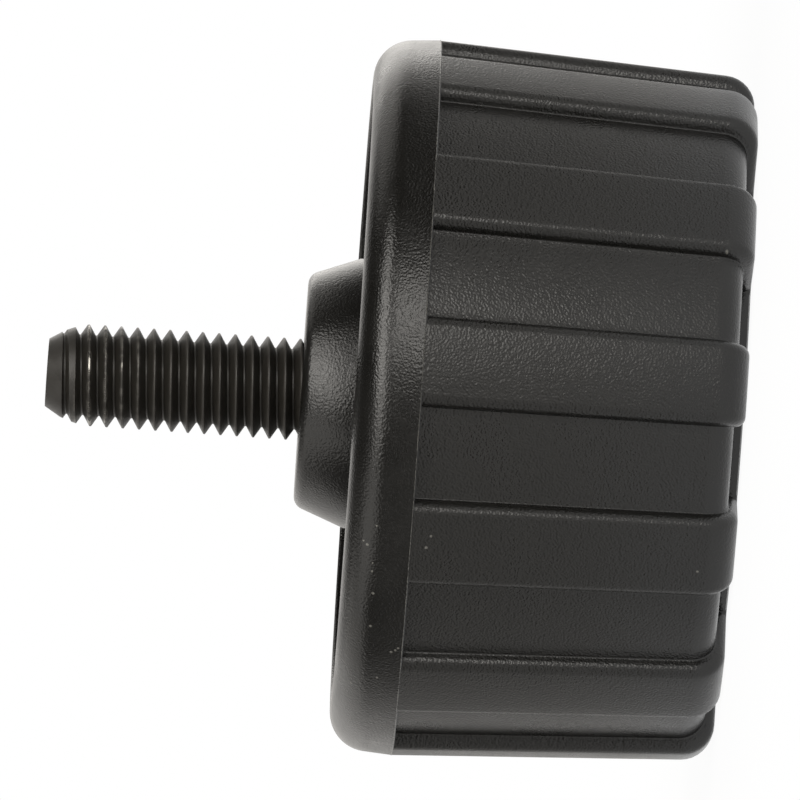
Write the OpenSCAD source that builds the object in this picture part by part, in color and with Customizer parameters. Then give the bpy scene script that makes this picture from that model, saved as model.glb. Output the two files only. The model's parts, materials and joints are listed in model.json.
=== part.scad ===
// Knurled hand knob with a threaded stud: a one-piece plastic moulding, hollow underneath, over a steel screw.
// It stands on its head face, with the stud pointing up along +Z. Lengths are in millimetres, angles in degrees.

/* [Grip] */
// Outer diameter at the parting line, where the ribs meet the rim
grip_d = 55; // [45:0.5:80]
// Height of the ribbed grip, from the head face to the parting line
grip_h = 24.4; // [18:0.1:40]
// Draft of the ribs, the grooves and the hollow towards the head
grip_draft = 3; // [1:0.5:4]
// Thickness of the flat head wall
head_wall = 3.5; // [2.5:0.1:6]

/* [Ribs] */
// Number of ribs round the grip
rib_count = 12; // [9:1:18]
// Share of the pitch that a rib's crown takes
crown_share = 0.49; // [0.35:0.01:0.6]
// Depth of a groove under the crowns, on the side of the grip
rib_depth = 1.1; // [0.6:0.05:1.6]
// Radius of a rib's end where it turns on to the head face
rib_round = 2.4; // [1.5:0.1:5]
// Depth of a groove under the crowns, on the head face
head_groove = 0.8; // [0.3:0.05:1.2]
// Radius of a groove's floor where it turns on to the head face
groove_round = 2; // [1:0.1:3.5]
// Diameter of the plain disc in the middle of the head face
disc_d = 40; // [25:0.5:42]

/* [Rim] */
// Height of the plain rim over the ribs
rim_h = 4.9; // [4:0.1:10]
// Wall of the rim, from the parting line to the mouth of the hollow
rim_wall = 3.5; // [2.6:0.1:5]
// Draft of the rim towards the stud side
rim_draft = 4; // [1:0.5:6]
// Radius of the rim's outer edge
rim_round = 3; // [1:0.1:4]
// Radius of the rim's inner edge
lip_round = 0.2; // [0.1:0.05:0.5]

/* [Hub] */
// Height of the hub's nose over the rim
nose_rise = 3.9; // [2:0.1:8]
// Diameter of the nose's flat face, before its edge is rounded
nose_d = 17.7; // [15:0.1:22]
// Slope of the conical nose against the axis
nose_slope = 21; // [10:1:30]
// Radius of the nose's edge
nose_round = 1; // [0.4:0.1:2]
// Draft of the hub inside the hollow
hub_draft = 1.5; // [0.5:0.5:2]
// Radius at the bottom corners of the hollow
hollow_round = 2; // [0.5:0.1:3]

/* [Webs] */
// Number of webs between the hub and the wall
web_count = 6; // [3:1:8]
// Thickness of a web
web_t = 2; // [1.2:0.1:3]
// Depth of the webs' edges under the rim
web_drop = 5; // [3:0.5:12]

/* [Stud] */
// Diameter over the thread's crests
stud_d = 7.8; // [5:0.1:8.5]
// Diameter of the plain shank inside the hub, as thick as a rolled thread's pitch line
shank_d = 7.1; // [4:0.1:7.6]
// Length of the screw under its head
stud_l = 35; // [30:0.5:38]
// Length that stands out of the nose
stud_reach = 19.5; // [12:0.5:22]
// Diameter of the tip's flat end
tip_d = 5.2; // [3:0.1:5.2]
// Length of the tip's chamfer
tip_l = 1.9; // [0.5:0.1:4]
// Width of the hexagon head across its flats
head_af = 13; // [10:0.5:13]
// Height of the hexagon head
head_h = 5.3; // [3:0.1:6]
// Gap round the thread's end, in the relief of the nose
relief_gap = 0.1; // [0.05:0.05:0.4]
// Depth of that relief
relief_h = 0.5; // [0.2:0.1:1.5]

/* [Hidden] */
$fn = 144;

// How far a cutter runs past the surface that it opens
overrun = 2;
hex_sides = 6;

grip_r = grip_d / 2;
rim_top = grip_h + rim_h;
nose_top = rim_top + nose_rise;
head_r = grip_r - grip_h * tan(grip_draft);
rim_r = grip_r - rim_h * tan(rim_draft);
mouth_r = grip_r - rim_wall;
rim_fillet = min(rim_round, rim_r - mouth_r - lip_round);
hollow_h = rim_top - head_wall;
hollow_r = mouth_r - hollow_h * tan(grip_draft);
nose_r = nose_d / 2;
hub_r = nose_r + nose_rise * tan(nose_slope);
hub_foot_r = hub_r + hollow_h * tan(hub_draft);
floor_r = grip_r - rib_depth;
floor_head_r = floor_r - (grip_h - head_groove) * tan(grip_draft);
disc_r = disc_d / 2;
pitch_angle = 360 / rib_count;
groove_half_angle = pitch_angle * (1 - crown_share) / 2;
screw_head_r = head_af / 2 / cos(180 / hex_sides);
stud_top = nose_top + stud_reach;
screw_head_top = stud_top - stud_l;

// Half-section of the moulding before the grooves are cut, from the head's middle round to the nose's middle
section = [
    [0, 0],
    [head_r, 0],
    [grip_r, grip_h],
    [rim_r, rim_top],
    [mouth_r, rim_top],
    [hollow_r, head_wall],
    [hub_foot_r, head_wall],
    [hub_r, rim_top],
    [nose_r, nose_top],
    [0, nose_top],
];

// Half-section of what the grooves take away, up to the parting line
groove_section = [
    [disc_r, -overrun],
    [grip_r + overrun, -overrun],
    [grip_r + overrun, grip_h],
    [floor_r, grip_h],
    [floor_head_r, head_groove],
    [disc_r, head_groove],
];

function unit(v) = v / norm(v);

// Middle of the arc that rounds corner i of an outline
function arc_centre(outline, i, radius) =
    let (count = len(outline))
    let (back = unit(outline[(i + count - 1) % count] - outline[i]))
    let (ahead = unit(outline[(i + 1) % count] - outline[i]))
    let (half = acos(back * ahead) / 2)
    outline[i] + unit(back + ahead) * radius / sin(half);

// Where that arc meets the side from corner i towards corner j
function arc_end(outline, i, j, radius) =
    let (along = unit(outline[j] - outline[i]))
    outline[i] + along * ((arc_centre(outline, i, radius) - outline[i]) * along);

// The sliver between corner i of an outline and the arc that rounds it
module corner_sliver(outline, i, radius) {
    count = len(outline);
    centre = arc_centre(outline, i, radius);
    difference() {
        polygon([
            outline[i],
            arc_end(outline, i, (i + count - 1) % count, radius),
            centre,
            arc_end(outline, i, (i + 1) % count, radius),
        ]);
        translate(centre) circle(radius);
    }
}

module body_section() {
    difference() {
        polygon(section);
        corner_sliver(section, 1, rib_round);
        corner_sliver(section, 3, rim_fillet);
        corner_sliver(section, 4, lip_round);
        corner_sliver(section, 8, nose_round);
    }
    corner_sliver(section, 5, hollow_round);
    corner_sliver(section, 6, hollow_round);
}

module groove_ring() {
    rotate_extrude() {
        polygon(groove_section);
        corner_sliver(groove_section, 4, groove_round);
    }
}

// The sector that one groove takes out of the ring, its flanks along the radius
module groove_sector() {
    inner = disc_r - overrun;
    outer = grip_r + 2 * overrun;
    spread = tan(groove_half_angle);
    translate([0, 0, -2 * overrun])
        linear_extrude(grip_h + 3 * overrun)
            polygon([
                [inner, -inner * spread],
                [outer, -outer * spread],
                [outer, outer * spread],
                [inner, inner * spread],
            ]);
}

module grooves() {
    intersection() {
        groove_ring();
        for (i = [0:rib_count - 1])
            rotate((i + 1 / 2) * pitch_angle) groove_sector();
    }
}

// A web stands in a radial plane and runs into the hub, the head wall and the outer wall
module web() {
    web_top = rim_top - web_drop;
    bite = (floor_head_r - hollow_r) / 2;
    rotate([90, 0, 0])
        linear_extrude(web_t, center = true)
            polygon([
                [hub_r - bite, head_wall - bite],
                [hollow_r + bite, head_wall - bite],
                [mouth_r - web_drop * tan(grip_draft) + bite, web_top],
                [hub_r - bite, web_top],
            ]);
}

// The screw's hexagon head and plain shank, which the moulding closes round
module screw_root() {
    translate([0, 0, screw_head_top - head_h]) cylinder(h = head_h, r = screw_head_r, $fn = hex_sides);
    translate([0, 0, screw_head_top]) cylinder(h = nose_top - screw_head_top, d = shank_d);
}

module knob_body() {
    color([0.17, 0.17, 0.16])
        difference() {
            union() {
                difference() {
                    rotate_extrude() body_section();
                    grooves();
                }
                for (i = [0:web_count - 1])
                    rotate(i * 360 / web_count) web();
            }
            screw_root();
            translate([0, 0, nose_top - relief_h])
                cylinder(h = relief_h + overrun, d = stud_d + 2 * relief_gap);
        }
}

// The thread is drawn over its crests, with a chamfered tip
module threaded_stud() {
    color([0.12, 0.12, 0.13]) {
        screw_root();
        rotate_extrude()
            polygon([
                [0, nose_top],
                [stud_d / 2, nose_top],
                [stud_d / 2, stud_top - tip_l],
                [tip_d / 2, stud_top],
                [0, stud_top],
            ]);
    }
}

knob_body();
threaded_stud();
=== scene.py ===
import json
from math import acos, atan2, ceil, cos, hypot, pi, radians, sin, tan

import bmesh
import bpy
from mathutils import Matrix, Vector, noise


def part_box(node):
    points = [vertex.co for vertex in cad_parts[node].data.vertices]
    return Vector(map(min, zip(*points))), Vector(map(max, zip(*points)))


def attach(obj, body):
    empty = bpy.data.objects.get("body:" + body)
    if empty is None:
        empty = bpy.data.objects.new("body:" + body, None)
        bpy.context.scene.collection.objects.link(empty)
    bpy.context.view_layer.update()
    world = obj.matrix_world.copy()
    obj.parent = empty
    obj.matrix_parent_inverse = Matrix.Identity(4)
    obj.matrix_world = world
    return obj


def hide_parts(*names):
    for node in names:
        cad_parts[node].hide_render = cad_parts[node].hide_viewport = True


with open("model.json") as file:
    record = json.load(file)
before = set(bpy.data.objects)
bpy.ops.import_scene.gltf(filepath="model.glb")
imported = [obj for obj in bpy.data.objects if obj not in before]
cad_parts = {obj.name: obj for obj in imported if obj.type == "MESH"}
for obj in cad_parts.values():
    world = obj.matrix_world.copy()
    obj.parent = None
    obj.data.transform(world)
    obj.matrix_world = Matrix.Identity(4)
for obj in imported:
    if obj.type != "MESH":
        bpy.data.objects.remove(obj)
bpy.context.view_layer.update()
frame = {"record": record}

# The stud: an M8 screw of blackened steel that is laid in the mould before the plastic is shot.
# Its thread is rolled, right-hand, with a chamfered tip, and its hexagon head ends up inside the hub.
mm = 0.001
mounts = {mount["name"]: mount for mount in frame["record"]["mounts"]}
nose_top = mounts["stud"]["pos_m"][2]
crest_r = mounts["stud"]["dims"]["r_mm"] * mm
stud_low, stud_high = (Vector(corner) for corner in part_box("threaded_stud"))
stud_top = stud_high.z
pitch = 1.25 * mm
thread_depth = 0.82 * mm
crest_flat = 0.11 * mm
root_flat = 0.12 * mm
tip_r = 2.6 * mm
chamfer_r = 3.33 * mm
chamfer_l = 1.2 * mm
lead_r = 3.6 * mm
lead_l = 1.9 * mm
full_thread_l = 3.4 * mm
shank_r = 3.55 * mm
hexagon_h = 5.3 * mm
thread_steps = 72
# How deep the thread's end hides in the relief of the nose
thread_sink = 0.3 * mm


def start_clean():
    if bpy.context.object and bpy.context.object.mode == "EDIT":
        bpy.ops.object.mode_set(mode="OBJECT")
    bpy.ops.object.select_all(action="DESELECT")


def apply_modifier(piece, kind, **settings):
    modifier = piece.modifiers.new(kind.title(), kind)
    for key, value in settings.items():
        setattr(modifier, key, value)
    bpy.context.view_layer.objects.active = piece
    bpy.ops.object.modifier_apply(modifier=modifier.name)


def unite(piece, others):
    """Fuses other closed meshes into a piece, and removes them."""
    for other in others:
        apply_modifier(piece, "BOOLEAN", operation="UNION", solver="EXACT", object=other)
        bpy.data.objects.remove(other)


def settle(piece):
    """Puts a piece's place into its mesh, so that its object sits at the origin."""
    start_clean()
    piece.select_set(True)
    bpy.context.view_layer.objects.active = piece
    bpy.ops.object.transform_apply(location=True, rotation=True, scale=True)


def smooth(piece, degrees):
    start_clean()
    piece.select_set(True)
    bpy.context.view_layer.objects.active = piece
    bpy.ops.object.shade_smooth_by_angle(angle=radians(degrees))


# One turn of the thread, as an open line from root to crest and back to root, carried round by a screw
start_clean()
bpy.ops.mesh.primitive_circle_add(vertices=6, radius=crest_r, fill_type="NOTHING")
thread = bpy.context.object
bpy.ops.object.mode_set(mode="EDIT")
wire = bmesh.from_edit_mesh(thread.data)
wire.verts.ensure_lookup_table()
root_r = crest_r - thread_depth
rise = (pitch - crest_flat - root_flat) / 2
turn_line = [
    (root_r, 0),
    (root_r, root_flat / 2),
    (crest_r, root_flat / 2 + rise),
    (crest_r, root_flat / 2 + rise + crest_flat),
    (root_r, pitch - root_flat / 2),
    (root_r, pitch),
]
for vertex, (radius, height) in zip(wire.verts, turn_line):
    vertex.co = Vector((radius, 0, height))
for edge in wire.edges:
    edge.select_set(abs(edge.verts[0].index - edge.verts[1].index) > 1)
bmesh.update_edit_mesh(thread.data)
bpy.ops.mesh.select_mode(type="EDGE")
bpy.ops.mesh.delete(type="EDGE")
bpy.ops.mesh.select_all(action="SELECT")
bpy.ops.mesh.subdivide(number_cuts=3)
bpy.ops.object.mode_set(mode="OBJECT")
turns = ceil((stud_top - nose_top + thread_sink) / pitch) + 3
apply_modifier(thread, "SCREW", axis="Z", angle=2 * pi, screw_offset=pitch, iterations=turns,
               steps=thread_steps, render_steps=thread_steps, use_merge_vertices=True,
               merge_threshold=pitch / 1000)
thread.location.z = nose_top - thread_sink - 2 * pitch
settle(thread)

# The helix is cut square inside the nose, between two rows of its vertices, and clear over the tip
cut_low = nose_top - 1.03 * thread_sink
cut_high = stud_top + pitch / 2
bpy.ops.object.mode_set(mode="EDIT")
for height, outer in ((cut_low, False), (cut_high, True)):
    bpy.ops.mesh.select_all(action="SELECT")
    bpy.ops.mesh.bisect(plane_co=(0, 0, height), plane_no=(0, 0, 1), use_fill=True, threshold=pitch / 10000,
                        clear_inner=not outer, clear_outer=outer)
bpy.ops.mesh.select_all(action="SELECT")
bpy.ops.mesh.remove_doubles(threshold=pitch / 1000)
bpy.ops.mesh.normals_make_consistent(inside=False)
bpy.ops.object.mode_set(mode="OBJECT")

# The chamfered blank that the thread was rolled on: the first crests behind the chamfer stay low
start_clean()
blank_r = crest_r + 0.1 * mm
blank_line = [
    (tip_r, 0),
    (chamfer_r, chamfer_l),
    (lead_r, lead_l),
    (blank_r, full_thread_l),
    (blank_r, stud_top - nose_top + pitch),
]
bpy.ops.mesh.primitive_circle_add(vertices=2 * thread_steps, radius=tip_r, fill_type="NGON",
                                  location=(0, 0, stud_top))
blank = bpy.context.object
settle(blank)
bpy.ops.object.mode_set(mode="EDIT")
bpy.ops.mesh.select_all(action="SELECT")
for (radius, depth), (next_radius, next_depth) in zip(blank_line, blank_line[1:]):
    bpy.ops.mesh.extrude_region()
    grow = next_radius / radius
    bpy.ops.transform.resize(value=(grow, grow, 1), center_override=(0, 0, 0))
    bpy.ops.transform.translate(value=(0, 0, depth - next_depth))
bpy.ops.mesh.select_all(action="SELECT")
bpy.ops.mesh.normals_make_consistent(inside=False)
bpy.ops.object.mode_set(mode="OBJECT")
apply_modifier(thread, "BOOLEAN", operation="INTERSECT", solver="EXACT", object=blank)
bpy.data.objects.remove(blank)

# The plain shank and the hexagon head that the plastic closes round
start_clean()
shank_low = stud_low.z + hexagon_h / 2
shank_high = nose_top - thread_sink / 2
bpy.ops.mesh.primitive_cylinder_add(vertices=thread_steps, radius=shank_r, depth=shank_high - shank_low,
                                    location=(0, 0, (shank_low + shank_high) / 2))
shank = bpy.context.object
start_clean()
bpy.ops.mesh.primitive_cylinder_add(vertices=6, radius=stud_high.x, depth=hexagon_h, rotation=(0, 0, pi / 2),
                                    location=(0, 0, stud_low.z + hexagon_h / 2))
hexagon = bpy.context.object
settle(shank)
settle(hexagon)
unite(thread, [shank, hexagon])
thread.name = thread.data.name = "threaded_stud_steel"
smooth(thread, 25)


def shader_of(material):
    material.use_nodes = True
    return material.node_tree.nodes["Principled BSDF"]


def node_of(material, kind, **settings):
    node = material.node_tree.nodes.new(kind)
    for key, value in settings.items():
        setattr(node, key, value)
    return node


black_steel = bpy.data.materials.new("black_oxide_steel")
steel = shader_of(black_steel)
steel_links = black_steel.node_tree.links
steel.inputs["Specular IOR Level"].default_value = 0.6
steel_place = node_of(black_steel, "ShaderNodeTexCoord")
# The crests have lost some of their oxide: a lighter tone by the distance from the axis
steel_flat = node_of(black_steel, "ShaderNodeVectorMath", operation="MULTIPLY")
steel_flat.inputs[1].default_value = (1, 1, 0)
steel_reach = node_of(black_steel, "ShaderNodeVectorMath", operation="LENGTH")
steel_crest = node_of(black_steel, "ShaderNodeMapRange")
steel_crest.inputs["From Min"].default_value = crest_r - 0.25 * mm
steel_crest.inputs["From Max"].default_value = crest_r
steel_mottle = node_of(black_steel, "ShaderNodeTexNoise")
steel_mottle.inputs["Scale"].default_value = 1400
steel_mottle.inputs["Detail"].default_value = 4
steel_worn = node_of(black_steel, "ShaderNodeMath", operation="MULTIPLY")
steel_tone = node_of(black_steel, "ShaderNodeMix", data_type="RGBA")
steel_tone.inputs["A"].default_value = (0.017, 0.015, 0.012, 1)
steel_tone.inputs["B"].default_value = (0.060, 0.056, 0.050, 1)
# Near the tip the crests are rubbed to bare metal in spots
steel_parts = node_of(black_steel, "ShaderNodeSeparateXYZ")
steel_end = node_of(black_steel, "ShaderNodeMapRange")
steel_end.inputs["From Min"].default_value = stud_top - 8 * mm
steel_end.inputs["From Max"].default_value = stud_top - 4 * mm
steel_rub = node_of(black_steel, "ShaderNodeMapRange")
steel_rub.inputs["From Min"].default_value = 0.48
steel_rub.inputs["From Max"].default_value = 0.60
steel_spot = node_of(black_steel, "ShaderNodeMath", operation="MULTIPLY")
steel_bare = node_of(black_steel, "ShaderNodeMath", operation="MULTIPLY")
steel_coat = node_of(black_steel, "ShaderNodeMix", data_type="RGBA")
steel_coat.inputs["B"].default_value = (0.24, 0.23, 0.21, 1)
steel_metal = node_of(black_steel, "ShaderNodeMapRange")
steel_metal.inputs["To Min"].default_value = 0.25
steel_metal.inputs["To Max"].default_value = 1.0
steel_gloss = node_of(black_steel, "ShaderNodeMix", data_type="FLOAT")
steel_gloss.inputs["B"].default_value = 0.18
steel_rough = node_of(black_steel, "ShaderNodeMapRange")
steel_rough.inputs["To Min"].default_value = 0.34
steel_rough.inputs["To Max"].default_value = 0.56
steel_bump = node_of(black_steel, "ShaderNodeBump")
steel_bump.inputs["Strength"].default_value = 0.5
steel_bump.inputs["Distance"].default_value = 0.06 * mm
steel_links.new(steel_place.outputs["Object"], steel_flat.inputs[0])
steel_links.new(steel_flat.outputs["Vector"], steel_reach.inputs[0])
steel_links.new(steel_reach.outputs["Value"], steel_crest.inputs["Value"])
steel_links.new(steel_place.outputs["Object"], steel_mottle.inputs["Vector"])
steel_links.new(steel_crest.outputs["Result"], steel_worn.inputs[0])
steel_links.new(steel_mottle.outputs["Fac"], steel_worn.inputs[1])
steel_links.new(steel_worn.outputs[0], steel_tone.inputs["Factor"])
steel_links.new(steel_place.outputs["Object"], steel_parts.inputs[0])
steel_links.new(steel_parts.outputs["Z"], steel_end.inputs["Value"])
steel_links.new(steel_mottle.outputs["Fac"], steel_rub.inputs["Value"])
steel_links.new(steel_rub.outputs["Result"], steel_spot.inputs[0])
steel_links.new(steel_end.outputs["Result"], steel_spot.inputs[1])
steel_links.new(steel_crest.outputs["Result"], steel_bare.inputs[0])
steel_links.new(steel_spot.outputs[0], steel_bare.inputs[1])
steel_links.new(steel_bare.outputs[0], steel_coat.inputs["Factor"])
steel_links.new(steel_tone.outputs["Result"], steel_coat.inputs["A"])
steel_links.new(steel_coat.outputs["Result"], steel.inputs["Base Color"])
steel_links.new(steel_bare.outputs[0], steel_metal.inputs["Value"])
steel_links.new(steel_metal.outputs["Result"], steel.inputs["Metallic"])
steel_links.new(steel_mottle.outputs["Fac"], steel_rough.inputs["Value"])
steel_links.new(steel_bare.outputs[0], steel_gloss.inputs["Factor"])
steel_links.new(steel_rough.outputs["Result"], steel_gloss.inputs["A"])
steel_links.new(steel_gloss.outputs["Result"], steel.inputs["Roughness"])
steel_links.new(steel_mottle.outputs["Fac"], steel_bump.inputs["Height"])
steel_links.new(steel_bump.outputs["Normal"], steel.inputs["Normal"])
thread.data.materials.clear()
thread.data.materials.append(black_steel)
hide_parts("threaded_stud")
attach(thread, "root")

# The knob body: one shot of black plastic, moulded round the screw. Twelve drafted ribs wrap over
# the head end, a rounded rim closes the stud side, and the underside is hollow between wall and hub.
body_high = Vector(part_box("knob_body")[1])
# The wall stays this far inside the solid, so that the ragged flash reaches the solid's own size
flash_reach = 0.06 * mm
grip_r = body_high.x - flash_reach
grip_h = 24.4 * mm
draft = radians(3)
rib_count = 12
crown_share = 0.49
rib_depth = 1.1 * mm
shoulder_round = 0.95 * mm
foot_round = 0.12 * mm
flank_lean = 0.01 * mm
rib_round = 2.4 * mm
head_groove = 0.8 * mm
groove_round = 2 * mm
disc_r = 20 * mm
disc_round = 0.4 * mm
head_wall = 3.5 * mm
rim_h = 4.9 * mm
rim_draft = radians(4)
rim_round = 2.95 * mm
lip_round = 0.2 * mm
mouth_r = body_high.x - 3.5 * mm
nose_r = 8.85 * mm
nose_slope = radians(21)
nose_round = 1 * mm
hub_draft = radians(1.5)
hollow_round = 2 * mm
relief_r = crest_r + 0.1 * mm
relief_h = 0.5 * mm
# Vertices closer than this are one
weld = 0.002 * mm

rim_top = grip_h + rim_h
hollow_h = rim_top - head_wall
head_r = grip_r - grip_h * tan(draft)
hub_r = nose_r + (nose_top - rim_top) * tan(nose_slope)
hexagon_top = stud_low.z + hexagon_h

# The ribs in plan, from the middle of a groove to the middle of a rib: the way past the flank,
# and the depth under the crown there
rib_pitch = 2 * pi / rib_count
groove_half = rib_pitch * (1 - crown_share) / 2
groove_side = grip_r * groove_half
crown_side = grip_r * (rib_pitch / 2 - groove_half)
quarter = pi / 2
plan = [(-groove_side * (1 - step / 5), rib_depth) for step in range(5)]
for step in range(4):
    turn = quarter * step / 3
    plan.append((-foot_round * (1 - sin(turn)), rib_depth - foot_round * (1 - cos(turn))))
for step in range(9):
    turn = quarter * step / 8
    plan.append((flank_lean + shoulder_round * (1 - cos(turn)), shoulder_round * (1 - sin(turn))))
crown_start = plan[-1][0]
for step in range(1, 4):
    plan.append((crown_start + (crown_side - crown_start) * step / 3, 0))
to_crown = [(way + groove_side) / grip_r for way, depth in plan]
rim_angles = []
for groove in range(rib_count):
    groove_angle = (groove + 0.5) * rib_pitch
    rim_angles += [groove_angle + angle for angle in to_crown]
    rim_angles += [groove_angle + rib_pitch - angle for angle in to_crown[-2:0:-1]]


def rounded(before, corner, after, radius, steps):
    """Points along the arc that rounds a corner of the section."""
    corner = Vector(corner)
    back = (Vector(before) - corner).normalized()
    ahead = (Vector(after) - corner).normalized()
    half = acos(back.dot(ahead)) / 2
    middle = corner + (back + ahead).normalized() * radius / sin(half)
    first = corner + back * radius / tan(half) - middle
    last = corner + ahead * radius / tan(half) - middle
    sweep = pi - 2 * half
    return [middle + (first * sin(sweep * (1 - step / steps)) + last * sin(sweep * step / steps)) / sin(sweep)
            for step in range(steps + 1)]


# The section of the grip, from the head's disc to the parting line: over a rib's crown,
# and along a groove's floor
floor_r = grip_r - rib_depth
floor_head_r = floor_r - (grip_h - head_groove) * tan(draft)
edge_bite = disc_round * (1 - cos(pi / 4))
crown_line = [(disc_r - disc_round, 0), (disc_r - edge_bite, 0), (disc_r, 0), (disc_r + edge_bite, 0)]
crown_line += rounded((disc_r, 0), (head_r, 0), (grip_r, grip_h), rib_round, 8)
crown_line.append((grip_r, grip_h))
floor_line = [(disc_r - disc_round, 0), (disc_r - edge_bite, edge_bite), (disc_r, disc_round)]
floor_line.append((disc_r, head_groove))
floor_line += rounded((disc_r, head_groove), (floor_head_r, head_groove), (floor_r, grip_h), groove_round, 8)
floor_line.append((floor_r, grip_h))

# The section goes on over the rim, through the hollow, up the hub and down to the pocket of the screw
rim_corner = (grip_r - rim_h * tan(rim_draft), rim_top)
lip_corner = (mouth_r, rim_top)
wall_foot = (mouth_r - hollow_h * tan(draft), head_wall)
hub_foot = (hub_r + hollow_h * tan(hub_draft), head_wall)
nose_corner = (nose_r, nose_top)
rim_line = [(grip_r, grip_h)]
rim_line += rounded((grip_r, grip_h), rim_corner, lip_corner, rim_round, 14)
rim_line += rounded(rim_corner, lip_corner, wall_foot, lip_round, 4)
rim_line += rounded(lip_corner, wall_foot, hub_foot, hollow_round, 7)
rim_line += rounded(wall_foot, hub_foot, (hub_r, rim_top), hollow_round, 7)
rim_line.append((hub_r, rim_top))
rim_line += rounded((hub_r, rim_top), nose_corner, (relief_r, nose_top), nose_round, 7)
rim_line += [(relief_r, nose_top), (relief_r, nose_top - relief_h), (shank_r, nose_top - relief_h)]
rim_line.append((shank_r, hexagon_top))

start_clean()
bpy.ops.mesh.primitive_circle_add(vertices=len(rim_angles), radius=disc_r - disc_round, fill_type="NGON")
body = bpy.context.object
bpy.ops.object.mode_set(mode="EDIT")
bpy.ops.mesh.select_mode(type="EDGE")
bpy.ops.mesh.select_all(action="DESELECT")
disc = bmesh.from_edit_mesh(body.data)
for vertex, angle in zip(disc.verts, rim_angles):
    vertex.co = (disc_r - disc_round) * Vector((cos(angle), sin(angle), 0))
for edge in disc.edges:
    edge.select_set(True)
bmesh.update_edit_mesh(body.data)


def groove_share(angle):
    """How far the plan goes from a crown to a groove's floor at an angle round the axis."""
    off_groove = abs((angle % rib_pitch) - rib_pitch / 2)
    way = grip_r * off_groove - groove_side
    return min(plan, key=lambda point: abs(point[0] - way))[1] / rib_depth


def next_ring(crown, floor):
    """Draws the last ring of the body out to a new one, which goes over the crowns and along the floors."""
    bpy.ops.mesh.extrude_region()
    mesh = bmesh.from_edit_mesh(body.data)
    for vertex in mesh.verts:
        if vertex.select:
            angle = atan2(vertex.co.y, vertex.co.x)
            radius, height = Vector(crown).lerp(Vector(floor), groove_share(angle))
            vertex.co = Vector((radius * cos(angle), radius * sin(angle), height))
    bmesh.update_edit_mesh(body.data)


for crown, floor in zip(crown_line[1:], floor_line[1:]):
    next_ring(crown, floor)
for place in rim_line:
    next_ring(place, place)

# The pocket round the hexagon head: the last ring is drawn out to six corners, sunk and closed
bpy.ops.mesh.extrude_region()
pocket = bmesh.from_edit_mesh(body.data)
for vertex in pocket.verts:
    if vertex.select:
        angle = atan2(vertex.co.y, vertex.co.x)
        off_flat = (angle % (pi / 3)) - pi / 6
        reach = stud_high.x * cos(pi / 6) / cos(off_flat)
        vertex.co = Vector((reach * cos(angle), reach * sin(angle), hexagon_top))
bmesh.update_edit_mesh(body.data)
bpy.ops.mesh.extrude_region()
bpy.ops.transform.translate(value=(0, 0, -hexagon_h))
bpy.ops.mesh.edge_face_add()
bpy.ops.mesh.select_all(action="SELECT")
bpy.ops.mesh.remove_doubles(threshold=weld)
bpy.ops.mesh.normals_make_consistent(inside=False)
bpy.ops.object.mode_set(mode="OBJECT")

# Six webs between the hub and the wall stiffen the hollow
web_count = 6
web_t = 2 * mm
web_drop = 5 * mm
# How far a web runs into the hub and the head wall, and into the drafted outer wall
web_bite = 0.5 * mm
wall_bite = 1.4 * mm
web_in = hub_r - web_bite
web_out = mouth_r - hollow_h * tan(draft) + wall_bite
web_low = head_wall - web_bite
web_high = rim_top - web_drop
for turn in range(web_count):
    start_clean()
    bpy.ops.mesh.primitive_cube_add(size=1, location=((web_in + web_out) / 2, 0, (web_low + web_high) / 2))
    web = bpy.context.object
    web.scale = (web_out - web_in, web_t, web_high - web_low)
    settle(web)
    web.rotation_euler.z = turn * 2 * pi / web_count
    settle(web)
    unite(body, [web])

# A ragged line of flash where the two halves of the mould met
start_clean()
flash_steps = 1152
flash_half = 0.09 * mm
flash_root = 0.06 * mm
coarse_waves = 30
fine_waves = 150
bpy.ops.mesh.primitive_circle_add(vertices=flash_steps, radius=grip_r - flash_root, fill_type="NOTHING",
                                  location=(0, 0, grip_h - flash_half))
flash = bpy.context.object
settle(flash)
bpy.ops.object.mode_set(mode="EDIT")
bpy.ops.mesh.select_mode(type="EDGE")
bpy.ops.mesh.select_all(action="SELECT")
widen = grip_r / (grip_r - flash_root)
for grow, lift in ((widen, flash_half), (1 / widen, flash_half), (1, -2 * flash_half)):
    bpy.ops.mesh.extrude_region()
    bpy.ops.transform.resize(value=(grow, grow, 1), center_override=(0, 0, 0))
    bpy.ops.transform.translate(value=(0, 0, lift))
bpy.ops.mesh.select_all(action="SELECT")
bpy.ops.mesh.remove_doubles(threshold=weld)
bpy.ops.mesh.normals_make_consistent(inside=False)
ragged = bmesh.from_edit_mesh(flash.data)
for vertex in ragged.verts:
    if hypot(vertex.co.x, vertex.co.y) > grip_r - flash_root / 2:
        angle = atan2(vertex.co.y, vertex.co.x)
        coarse = noise.noise(Vector((coarse_waves * cos(angle), coarse_waves * sin(angle), 1)))
        fine = noise.noise(Vector((fine_waves * cos(angle), fine_waves * sin(angle), 7)))
        reach = flash_reach * min(1, max(0.05, 0.45 + 0.5 * coarse + 0.6 * fine))
        vertex.co.x = (grip_r + reach) * cos(angle)
        vertex.co.y = (grip_r + reach) * sin(angle)
bmesh.update_edit_mesh(flash.data)
bpy.ops.object.mode_set(mode="OBJECT")
unite(body, [flash])
body.name = body.data.name = "knob_body_moulding"
smooth(body, 32)

black_plastic = bpy.data.materials.new("grained_black_plastic")
plastic = shader_of(black_plastic)
plastic_links = black_plastic.node_tree.links
plastic_place = node_of(black_plastic, "ShaderNodeTexCoord")
# The grain of the spark-eroded mould: small pips of about a sixth of a millimetre
grain = node_of(black_plastic, "ShaderNodeTexNoise")
grain.inputs["Scale"].default_value = 6000
grain.inputs["Detail"].default_value = 0
grain_bump = node_of(black_plastic, "ShaderNodeBump")
grain_bump.inputs["Strength"].default_value = 1.0
grain_bump.inputs["Distance"].default_value = 0.026 * mm
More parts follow.
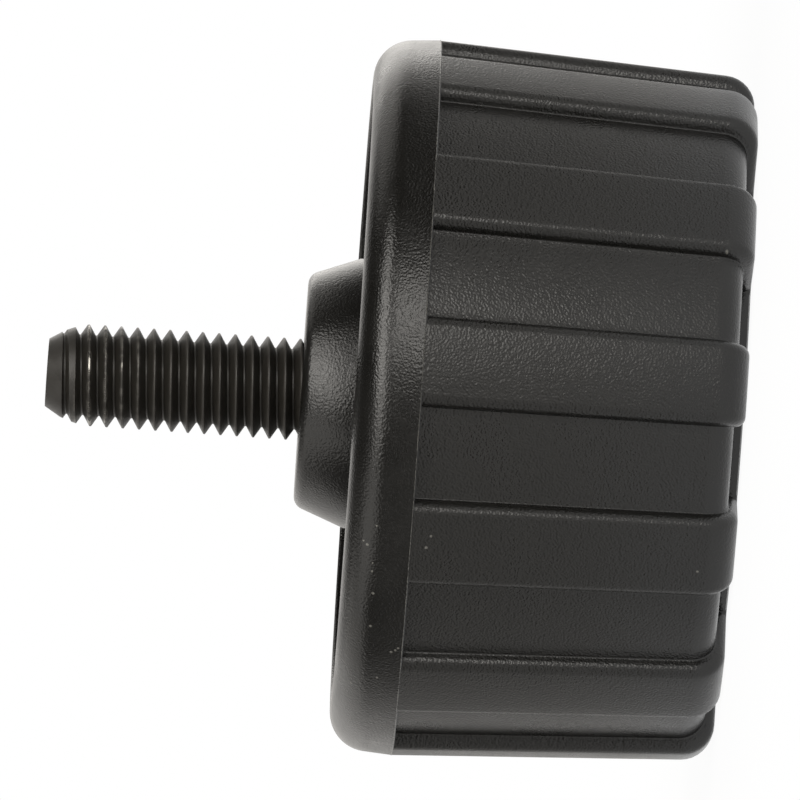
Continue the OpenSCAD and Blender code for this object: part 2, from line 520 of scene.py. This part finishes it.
# Broad, faint changes of tone and gloss over the moulding
cloud = node_of(black_plastic, "ShaderNodeTexNoise")
cloud.inputs["Scale"].default_value = 220
cloud.inputs["Detail"].default_value = 5
tone = node_of(black_plastic, "ShaderNodeMix", data_type="RGBA")
tone.inputs["A"].default_value = (0.0034, 0.0032, 0.0026, 1)
tone.inputs["B"].default_value = (0.0060, 0.0056, 0.0047, 1)
gloss = node_of(black_plastic, "ShaderNodeMapRange")
gloss.inputs["From Min"].default_value = 0.3
gloss.inputs["From Max"].default_value = 0.7
gloss.inputs["To Min"].default_value = 0.24
gloss.inputs["To Max"].default_value = 0.33
for texture in (grain, cloud):
    plastic_links.new(plastic_place.outputs["Object"], texture.inputs["Vector"])
# The flash is thin and stands out past the grip's own radius; only it is coloured pale there, a painted
# highlight along the parting line
plastic_flat = node_of(black_plastic, "ShaderNodeVectorMath", operation="MULTIPLY")
plastic_flat.inputs[1].default_value = (1, 1, 0)
plastic_reach = node_of(black_plastic, "ShaderNodeVectorMath", operation="LENGTH")
flash_highlight = node_of(black_plastic, "ShaderNodeMapRange")
flash_highlight.inputs["From Min"].default_value = grip_r
flash_highlight.inputs["From Max"].default_value = grip_r + flash_reach / 2
plastic_links.new(plastic_place.outputs["Object"], plastic_flat.inputs[0])
plastic_links.new(plastic_flat.outputs["Vector"], plastic_reach.inputs[0])
plastic_links.new(plastic_reach.outputs["Value"], flash_highlight.inputs["Value"])
highlight_and_wear_so_far = flash_highlight.outputs["Result"]
# Knocks and specks of dust on the rim and the ribs, and one painted glint on a rib's shoulder by the head, by
# angle in degrees, height and size in millimetres.
# They are laid on the grip's round from outside, so that none shows in the hollow.
wrap_way = node_of(black_plastic, "ShaderNodeVectorMath", operation="NORMALIZE")
wrap_height = node_of(black_plastic, "ShaderNodeVectorMath", operation="MULTIPLY")
wrap_height.inputs[1].default_value = (0, 0, 1)
wrap = node_of(black_plastic, "ShaderNodeVectorMath", operation="MULTIPLY_ADD")
wrap.inputs[1].default_value = (grip_r, grip_r, grip_r)
plastic_links.new(plastic_flat.outputs["Vector"], wrap_way.inputs[0])
plastic_links.new(plastic_place.outputs["Object"], wrap_height.inputs[0])
plastic_links.new(wrap_way.outputs["Vector"], wrap.inputs[0])
plastic_links.new(wrap_height.outputs["Vector"], wrap.inputs[2])
outside = node_of(black_plastic, "ShaderNodeMath", operation="GREATER_THAN")
outside.inputs[1].default_value = mouth_r + 1 * mm
plastic_links.new(plastic_reach.outputs["Value"], outside.inputs[0])
knocks_and_glint = [
    (-117, 27.0, 0.10),
    (-120, 27.9, 0.10),
    (-120.5, 27.6, 0.14),
    (-123.5, 27.1, 0.09),
    (-125, 27.1, 0.10),
    (-129, 26.9, 0.14),
    (-135.5, 26.9, 0.14),
    (-120, 23.2, 0.14),
    (-118, 22.9, 0.12),
    (-140.5, 25.2, 0.14),
    (-140, 24.9, 0.12),
    (-139.5, 24.7, 0.12),
    (-147, 26.1, 0.11),
    (-150.5, 28.0, 0.11),
    (-122, 2.8, 0.12),
    # painted glint on the lower shoulder of a rib by the head end
    (-67, 2.2, 0.13),
]
for angle, height, size in knocks_and_glint:
    spot_turn = Matrix.Rotation(radians(angle), 3, "Z")
    spot_way = node_of(black_plastic, "ShaderNodeVectorMath", operation="DISTANCE")
    spot_way.inputs[1].default_value = spot_turn @ Vector((grip_r, 0, height * mm))
    spot_fade = node_of(black_plastic, "ShaderNodeMapRange")
    spot_fade.inputs["From Min"].default_value = size * mm
    spot_fade.inputs["From Max"].default_value = size * mm / 2
    spot_mask = node_of(black_plastic, "ShaderNodeMath", operation="MULTIPLY")
    highlight_and_wear_sum = node_of(black_plastic, "ShaderNodeMath", operation="MAXIMUM")
    plastic_links.new(wrap.outputs["Vector"], spot_way.inputs[0])
    plastic_links.new(spot_way.outputs["Value"], spot_fade.inputs["Value"])
    plastic_links.new(spot_fade.outputs["Result"], spot_mask.inputs[0])
    plastic_links.new(outside.outputs[0], spot_mask.inputs[1])
    plastic_links.new(spot_mask.outputs[0], highlight_and_wear_sum.inputs[0])
    plastic_links.new(highlight_and_wear_so_far, highlight_and_wear_sum.inputs[1])
    highlight_and_wear_so_far = highlight_and_wear_sum.outputs[0]
# The pale colour marks the knocks and dust, and paints the highlight on the flash and the one glint
skin = node_of(black_plastic, "ShaderNodeMix", data_type="RGBA")
skin.inputs["B"].default_value = (0.13, 0.127, 0.115, 1)
plastic_links.new(highlight_and_wear_so_far, skin.inputs["Factor"])
plastic_links.new(grain.outputs["Fac"], grain_bump.inputs["Height"])
plastic_links.new(grain_bump.outputs["Normal"], plastic.inputs["Normal"])
plastic_links.new(cloud.outputs["Fac"], tone.inputs["Factor"])
plastic_links.new(tone.outputs["Result"], skin.inputs["A"])
plastic_links.new(skin.outputs["Result"], plastic.inputs["Base Color"])
plastic_links.new(cloud.outputs["Fac"], gloss.inputs["Value"])
plastic_links.new(gloss.outputs["Result"], plastic.inputs["Roughness"])
body.data.materials.clear()
body.data.materials.append(black_plastic)
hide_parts("knob_body")
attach(body, "root")

# The white table and the white room behind it, which the photograph shows as plain white.
# The table is bright by itself, takes a faint shadow near the knob, and lies a hair under the head face.
table_drop = 0.02 * mm
start_clean()
bpy.ops.mesh.primitive_plane_add(size=8, location=(0, 0, -table_drop))
table = bpy.context.object
table.name = table.data.name = "white_table"
white_table = bpy.data.materials.new("white_table")
table_shader = shader_of(white_table)
table_shader.inputs["Base Color"].default_value = (0.85, 0.85, 0.85, 1)
table_shader.inputs["Roughness"].default_value = 0.9
table_shader.inputs["Specular IOR Level"].default_value = 0.0
table_glow = node_of(white_table, "ShaderNodeEmission")
table_glow.inputs["Color"].default_value = (1, 1, 1, 1)
table_place = node_of(white_table, "ShaderNodeTexCoord")
table_reach = node_of(white_table, "ShaderNodeVectorMath", operation="LENGTH")
table_share = node_of(white_table, "ShaderNodeMapRange", interpolation_type="SMOOTHSTEP")
table_share.inputs["From Min"].default_value = 0.03
table_share.inputs["From Max"].default_value = 0.15
table_share.inputs["To Min"].default_value = 0.95
table_share.inputs["To Max"].default_value = 1.0
table_rays = node_of(white_table, "ShaderNodeLightPath")
# In the knob's own gloss only the table close by is white
table_near = node_of(white_table, "ShaderNodeMapRange", interpolation_type="SMOOTHSTEP")
table_near.inputs["From Min"].default_value = 0.04
table_near.inputs["From Max"].default_value = 0.09
table_near.inputs["To Min"].default_value = 1.0
table_near.inputs["To Max"].default_value = 0.15
table_gloss = node_of(white_table, "ShaderNodeMath", operation="MULTIPLY")
table_seen = node_of(white_table, "ShaderNodeMath", operation="MULTIPLY")
table_part = node_of(white_table, "ShaderNodeMath", operation="MAXIMUM")
table_mix = node_of(white_table, "ShaderNodeMixShader")
table_links = white_table.node_tree.links
table_links.new(table_place.outputs["Object"], table_reach.inputs[0])
table_links.new(table_reach.outputs["Value"], table_share.inputs["Value"])
table_links.new(table_reach.outputs["Value"], table_near.inputs["Value"])
table_links.new(table_rays.outputs["Is Camera Ray"], table_seen.inputs[0])
table_links.new(table_share.outputs["Result"], table_seen.inputs[1])
table_links.new(table_rays.outputs["Is Glossy Ray"], table_gloss.inputs[0])
table_links.new(table_near.outputs["Result"], table_gloss.inputs[1])
table_links.new(table_seen.outputs[0], table_part.inputs[0])
table_links.new(table_gloss.outputs[0], table_part.inputs[1])
table_links.new(table_part.outputs[0], table_mix.inputs[0])
table_links.new(table_shader.outputs[0], table_mix.inputs[1])
table_links.new(table_glow.outputs[0], table_mix.inputs[2])
table_links.new(table_mix.outputs[0], white_table.node_tree.nodes["Material Output"].inputs["Surface"])
table.data.materials.append(white_table)

# The room is white behind the knob, dim above it and a little brighter below it, as the photograph stands
world = bpy.data.worlds.new("white_room")
world.use_nodes = True
bpy.context.scene.world = world
room = world.node_tree
room_glow = room.nodes["Background"]
room_glow.inputs["Color"].default_value = (1, 0.97, 0.93, 1)
room_place = room.nodes.new("ShaderNodeTexCoord")
room_parts = room.nodes.new("ShaderNodeSeparateXYZ")
room_over = room.nodes.new("ShaderNodeMath")
room_over.operation = "MAXIMUM"
room_over.inputs[1].default_value = 0
room_aside = room.nodes.new("ShaderNodeMath")
room_aside.operation = "MULTIPLY_ADD"
room_aside.inputs[1].default_value = -0.5
room_back = room.nodes.new("ShaderNodeMapRange")
room_back.interpolation_type = "SMOOTHSTEP"
room_back.inputs["From Min"].default_value = 0.1
room_back.inputs["From Max"].default_value = 0.75
room_back.inputs["To Min"].default_value = 0.0
room_back.inputs["To Max"].default_value = 1.0
room_rise = room.nodes.new("ShaderNodeMapRange")
room_rise.interpolation_type = "SMOOTHSTEP"
room_rise.inputs["From Min"].default_value = -0.4
room_rise.inputs["From Max"].default_value = 0.3
room_rise.inputs["To Min"].default_value = 0.16
room_rise.inputs["To Max"].default_value = 0.05
room_sum = room.nodes.new("ShaderNodeMath")
room_rays = room.nodes.new("ShaderNodeLightPath")
room_seen = room.nodes.new("ShaderNodeBackground")
room_seen.inputs["Color"].default_value = (1, 1, 1, 1)
room_mix = room.nodes.new("ShaderNodeMixShader")
room.links.new(room_place.outputs["Generated"], room_parts.inputs[0])
room.links.new(room_parts.outputs["Z"], room_over.inputs[0])
room.links.new(room_over.outputs[0], room_aside.inputs[0])
room.links.new(room_parts.outputs["Y"], room_aside.inputs[2])
room.links.new(room_aside.outputs[0], room_back.inputs["Value"])
room.links.new(room_parts.outputs["X"], room_rise.inputs["Value"])
room.links.new(room_back.outputs["Result"], room_sum.inputs[0])
room.links.new(room_rise.outputs["Result"], room_sum.inputs[1])
room.links.new(room_sum.outputs[0], room_glow.inputs["Strength"])
room.links.new(room_rays.outputs["Is Camera Ray"], room_mix.inputs[0])
room.links.new(room_glow.outputs[0], room_mix.inputs[1])
room.links.new(room_seen.outputs[0], room_mix.inputs[2])
room.links.new(room_mix.outputs[0], room.nodes["World Output"].inputs["Surface"])


def softbox(name, place, width, height, power):
    """A lamp that faces the middle of the knob, its height along the photograph's upright."""
    lamp = bpy.data.lights.new(name, "AREA")
    lamp.shape = "RECTANGLE"
    lamp.size = width
    lamp.size_y = height
    lamp.energy = power
    lamp.color = (1, 0.97, 0.92)
    holder = bpy.data.objects.new(name, lamp)
    away = Vector(place).normalized()
    rise = (Vector((1, 0, 0)) - away * away.x).normalized()
    side = rise.cross(away)
    holder.matrix_world = Matrix.Translation(place) @ Matrix((side, rise, away)).transposed().to_4x4()
    holder.visible_camera = False
    bpy.context.scene.collection.objects.link(holder)


softbox("left_softbox", (0.34, -0.56, 0.66), 0.35, 0.55, 3.0)
softbox("front_softbox", (0.30, -0.85, 0.05), 0.40, 0.40, 3.0)
softbox("side_softbox", (0, -0.77, 0.64), 0.42, 0.60, 3.2)
softbox("back_softbox", (0.60, 0.85, 0.15), 0.70, 0.60, 1.85)
softbox("low_softbox", (-0.60, -0.38, 0.68), 0.80, 0.60, 2.0)
softbox("far_softbox", (-0.64, 0.41, 0.65), 0.80, 0.80, 1.5)
softbox("top_softbox", (0.71, 0.30, 0.64), 0.60, 0.60, 0.9)

# The camera looks along the table at the knob, and is rolled so that the stud points to the left.
azimuth = radians(-6)
elevation = radians(0.75)
roll = radians(86.05)
distance = 1.0
field = 61.31 * mm
forward = -Vector((sin(azimuth) * cos(elevation), -cos(azimuth) * cos(elevation), sin(elevation)))
level = forward.cross(Vector((0, 0, 1))).normalized()
upright = level.cross(forward)
right = level * cos(roll) - upright * sin(roll)
up = level * sin(roll) + upright * cos(roll)
target = Vector((0, 0, 25.6 * mm)) - up * 0.26 * mm
lens = bpy.data.cameras.new("camera")
lens.sensor_width = 36
lens.lens = 36 * distance / field
lens.clip_start = 0.01
camera = bpy.data.objects.new("camera", lens)
bpy.context.scene.collection.objects.link(camera)
axes = Matrix((right, up, -forward)).transposed()
camera.matrix_world = Matrix.Translation(target - forward * distance) @ axes.to_4x4()
bpy.context.scene.camera = camera
bpy.context.scene.view_settings.view_transform = "Standard"
